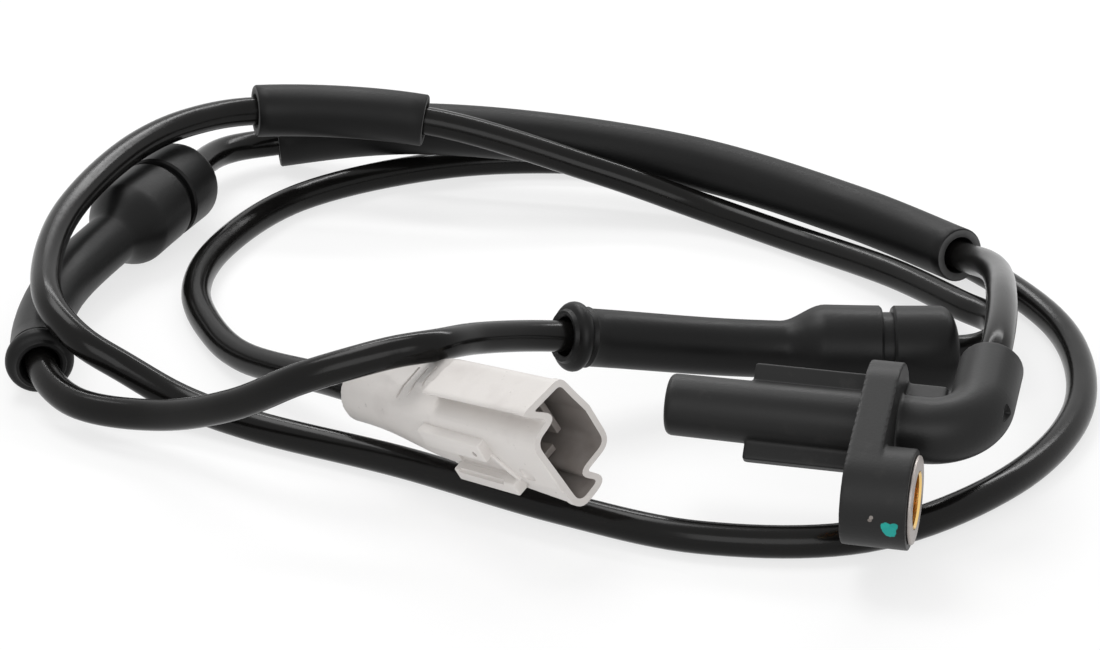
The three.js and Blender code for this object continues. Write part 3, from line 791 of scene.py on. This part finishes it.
def keyedOutline(inset, withLobe, key="farAndKey"):
    # the outline with each corner's own rounding, moved inwards by the inset
    look = plugLook
    corners = look["nearTop"] + (look["lobe"] if withLobe else look["plainBottom"]) + look[key]
    flat = [Vector(one[:2]) for one in corners]
    count = len(flat)
    sides = [(flat[(k + 1) % count] - flat[k]).normalized() for k in range(count)]
    turn = 1 if sum(flat[k - 1].cross(flat[k]) for k in range(count)) > 0 else -1
    points = []
    for k in range(count):
        before, after = sides[k - 1], sides[k]
        inwards, inwardsNext = (Vector((-one.y, one.x)) * turn for one in (before, after))
        corner = flat[k] + (inwards + inwardsNext) * (inset / (1 + inwards.dot(inwardsNext)))
        radius = corners[k][2] + (-inset if before.cross(after) * turn > 0 else inset)
        reach = max(look["leastRound"], radius) * tan(before.angle(after) / 2)
        first, last = corner - before * reach, corner + after * reach
        for step in range(7):
            t = step / 6
            point = first * (1 - t) ** 2 + corner * (2 * t * (1 - t)) + last * t ** 2
            points.append((point.x, point.y))
    return points


def finer(outline, longest):
    section = []
    for (ay, az), (by, bz) in zip(outline, outline[1:] + outline[:1]):
        parts = max(1, round(sqrt((by - ay) ** 2 + (bz - az) ** 2) / longest))
        section += [(ay + (by - ay) * k / parts, az + (bz - az) * k / parts) for k in range(parts)]
    return section


def keyDropAt(x):
    # how far the key's top lies below its height at the mouth
    look = plugLook
    return max(0, (look["length"] - x) / (look["length"] - look["tailLength"])) * look["keyDrop"]


def lobeShareAt(x):
    # what is left of the lobe's depth at the mouth
    look = plugLook
    along = clamped((x - look["lobeStart"]) / (look["length"] - look["lobeStart"]))
    return 1 - look["lobeLift"] * (1 - along)


def slanted(bm):
    # the lobe and the key both grow from the plug's middle towards its mouth
    look = plugLook
    for vert in bm.verts:
        x, z = vert.co.x / mm, vert.co.z / mm
        z -= clamped((z - look["keyFrom"]) / 3) * keyDropAt(x)
        if z < look["bottom"]:
            z = look["bottom"] + (z - look["bottom"]) * lobeShareAt(x)
        vert.co.z = z * mm
    return bm


def unslanted(x, z):
    # about the height that slanted started from
    look = plugLook
    if z < look["bottom"]:
        return look["bottom"] + (z - look["bottom"]) / lobeShareAt(x)
    return z + clamped((z - look["keyFrom"] + 1) / 3) * keyDropAt(x)


def topOfTail(x):
    # low under the strand that crosses it, then up to the shroud's ridge
    look = plugLook
    part = max(0, x - look["topSlopes"]) / (look["tailLength"] - look["topSlopes"])
    return look["tailTop"] + part * look["topRise"]


def tailShape():
    # round where the lead comes in, and turning into the shroud's outline
    look = plugLook
    bm = outlineShape(finer(keyedOutline(0, False, "tailKey"), 0.5), look["tailStart"], look["tailLength"])
    lengthwise = [one for one in bm.edges if abs(one.verts[0].co.x - one.verts[1].co.x) > 1e-4]
    bmesh.ops.subdivide_edges(bm, edges=lengthwise, cuts=11, use_grid_fill=False)
    for vert in bm.verts:
        x = vert.co.x / mm
        part = max(0, x / look["tailLength"] - look["tailNarrow"]) / (1 - look["tailNarrow"])
        keyed = Vector((vert.co.y, vert.co.z))
        circle = keyed.normalized() * look["tailRadius"] * mm
        flat = circle.lerp(keyed, part * part * (3 - 2 * part) * look["tailShare"])
        vert.co.y = flat.x
        vert.co.z = min(flat.y, topOfTail(x) * mm)
    return bm


def ridgeShape():
    # the slanted rib on the near wall, from the pad's corner to the slide bar's end
    look = plugLook
    (startX, startZ), (endX, endZ) = look["ridge"]
    along = Vector((endX - startX, 0, endZ - startZ))
    half = look["ridgeWidth"] / 2
    wall = look["width"] / 2
    bm = boxShape((0, -wall - look["ridgeProud"], -half), (along.length, -wall + 1, half), 0.2)
    turn = Vector((1, 0, 0)).rotation_difference(along).to_matrix().to_4x4()
    bmesh.ops.transform(bm, matrix=Matrix.Translation((startX * mm, 0, startZ * mm)) @ turn, verts=bm.verts)
    return bm


def grooveShape(x):
    look = plugLook
    low, high = look["grooveSpan"]
    top = topOfTail(x)
    return boxShape((x, low, top - look["grooveDepth"]), (x + look["grooveWidth"], high, top + 1.5), 0.12)


def isWithin(y, z, outline):
    # counts the sides of the outline that a line from the point crosses
    within = False
    for (ay, az), (by, bz) in zip(outline, outline[1:] + outline[:1]):
        if (az > z) != (bz > z) and y < ay + (z - az) * (by - ay) / (bz - az):
            within = not within
    return within


def paintMouthShade(mesh):
    # the walls inside the mouth get the second, darker material, which is painted shade for the mouth's recess
    look = plugLook
    outline = keyedOutline(look["wall"] - 0.15, True)
    back = look["length"] - look["mouthDepth"] - 0.2
    front = look["length"] - 0.7
    for face in mesh.polygons:
        x, y, z = (value / mm for value in face.center)
        inside = back < x < front and isWithin(y, unslanted(x, z), outline)
        face.material_index = 1 if inside else 0


def makePlug():
    look = plugLook
    nearWall = -look["width"] / 2
    front = look["length"]
    bm = bmesh.new()
    addTo(bm, tailShape())
    addTo(bm, slanted(outlineShape(keyedOutline(0, False), look["tailLength"] - 0.5, front)))
    addTo(bm, slanted(outlineShape(keyedOutline(0, True), look["lobeStart"], front)))
    thing = fused(bm, look["voxel"], look["soften"])
    lipWidth, lipProud = look["lip"]
    add(thing, outlineShape(keyedOutline(-lipProud, True), front - lipWidth, front + 0.02),
        boxShape(*look["pad"], 0.3), boxShape(*look["bar"], 0.3))
    carve(thing, boxShape(*look["web"], 0.2), boxShape(*look["barSlot"], 0.1), boxShape(*look["pocket"], 0.6))
    add(thing, ridgeShape())
    holeX, holeZ, holeRadius = look["padHole"]
    carve(thing, slanted(outlineShape(keyedOutline(look["wall"], True), front - look["mouthDepth"], front + 2)),
          cylinderShape(look["leadBore"], -2, 12),
          acrossShape(holeRadius, nearWall - 3, nearWall - 0.6, holeX, holeZ),
          *[grooveShape(x) for x in look["grooves"]])
    add(thing, *[boxShape(*one, 0.15) for one in look["ribs"]])
    mesh = meshOf(thing)
    paintMouthShade(mesh)
    mesh.transform(plugPlace)
    smoothByAngle(mesh, look["sharp"])
    dressPiece("plug_shell", mesh, [plugNylon, plugMouthShade], "plug_housing")


makePlug()
print("plug moulded")


# The inner pieces keep their solids and get their own finish

innerLooks = {
    "pole_pin": ironGrey, "magnet": ironGrey, "coil_bobbin": darkNylon, "coil_winding": copperWire,
    "head_terminal_a": terminalBrass, "head_terminal_b": terminalBrass,
    "head_core_a": blueCore, "head_core_b": brownCore,
    "terminal_carrier": innerNylon, "contact_pin_a": terminalBrass, "contact_pin_b": terminalBrass,
    "plug_core_a": blueCore, "plug_core_b": brownCore,
}


def paintInner():
    for name, material in innerLooks.items():
        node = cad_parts[name]
        for place in node.material_slots:
            place.material = material


paintInner()

# Floor, light and world

studio = {
    "floorSize": 6.0,
    "floorZ": -0.01488,
    "world": 0.55,
    "floorGlow": 0.72,
    "aim": (-0.05, 0.05, 0),
    "key": {"size": (0.5, 0.5), "power": 4.5, "place": (-0.45, 0.35, 0.95)},
    "fill": {"size": (0.9, 0.7), "power": 5.0, "place": (0.15, -1.0, 0.55)},
    "strip": {"size": (0.9, 0.10), "power": 3.5, "place": (-0.1, 0.75, 0.6)},
}


def backgroundSeen(made):
    # one for the rays that should meet the white background: seen directly, mirrored or through
    rays = [made.node("ShaderNodeLightPath", output=name)
            for name in ("Is Camera Ray", "Is Glossy Ray", "Is Transmission Ray")]
    return made.node("ShaderNodeMath", {"operation": "ADD", "use_clamp": True}, {
        0: rays[0] + rays[1], 1: rays[2]})


def makeFloor():
    bm = bmesh.new()
    bmesh.ops.create_grid(bm, x_segments=1, y_segments=1, size=studio["floorSize"] / 2)
    bmesh.ops.translate(bm, vec=(0, 0, studio["floorZ"]), verts=bm.verts)
    mesh = bpy.data.meshes.new("floor")
    bm.to_mesh(mesh)
    bm.free()
    made = newMaker("pale floor")
    tint = made.blend(made.noise(3), shade(0.90, 0.90, 0.90), shade(0.92, 0.92, 0.92))
    matt = made.node("ShaderNodeBsdfDiffuse", {}, {"Color": tint})
    glow = made.node("ShaderNodeEmission", {}, {"Color": shade(1, 1, 1), "Strength": 1.0})
    mixed = made.node("ShaderNodeMixShader", {}, {0: backgroundSeen(made) * studio["floorGlow"], 1: matt, 2: glow})
    made.node("ShaderNodeOutputMaterial", {}, {"Surface": mixed})
    mesh.materials.append(made.material)
    floor = bpy.data.objects.new("floor", mesh)
    scene.collection.objects.link(floor)


def makeLamp(name):
    look = studio[name]
    data = bpy.data.lights.new(name, 'AREA')
    data.shape = 'RECTANGLE'
    data.size, data.size_y = look["size"]
    data.energy = look["power"]
    lamp = bpy.data.objects.new(name, data)
    lamp.location = look["place"]
    aim = Vector(studio["aim"]) - Vector(look["place"])
    lamp.rotation_euler = aim.to_track_quat('-Z', 'Y').to_euler()
    scene.collection.objects.link(lamp)


def makeWorld():
    scene.world = bpy.data.worlds.new("world")
    made = Maker(scene.world)
    dim, full = (made.node("ShaderNodeBackground", {}, {"Color": shade(1, 1, 1), "Strength": strength})
                 for strength in (studio["world"], 1.0))
    mixed = made.node("ShaderNodeMixShader", {}, {0: backgroundSeen(made), 1: dim, 2: full})
    made.node("ShaderNodeOutputWorld", {}, {"Surface": mixed})


makeFloor()
for lampName in ("key", "fill", "strip"):
    makeLamp(lampName)
makeWorld()
scene.view_settings.view_transform = 'Standard'
print("studio lit")
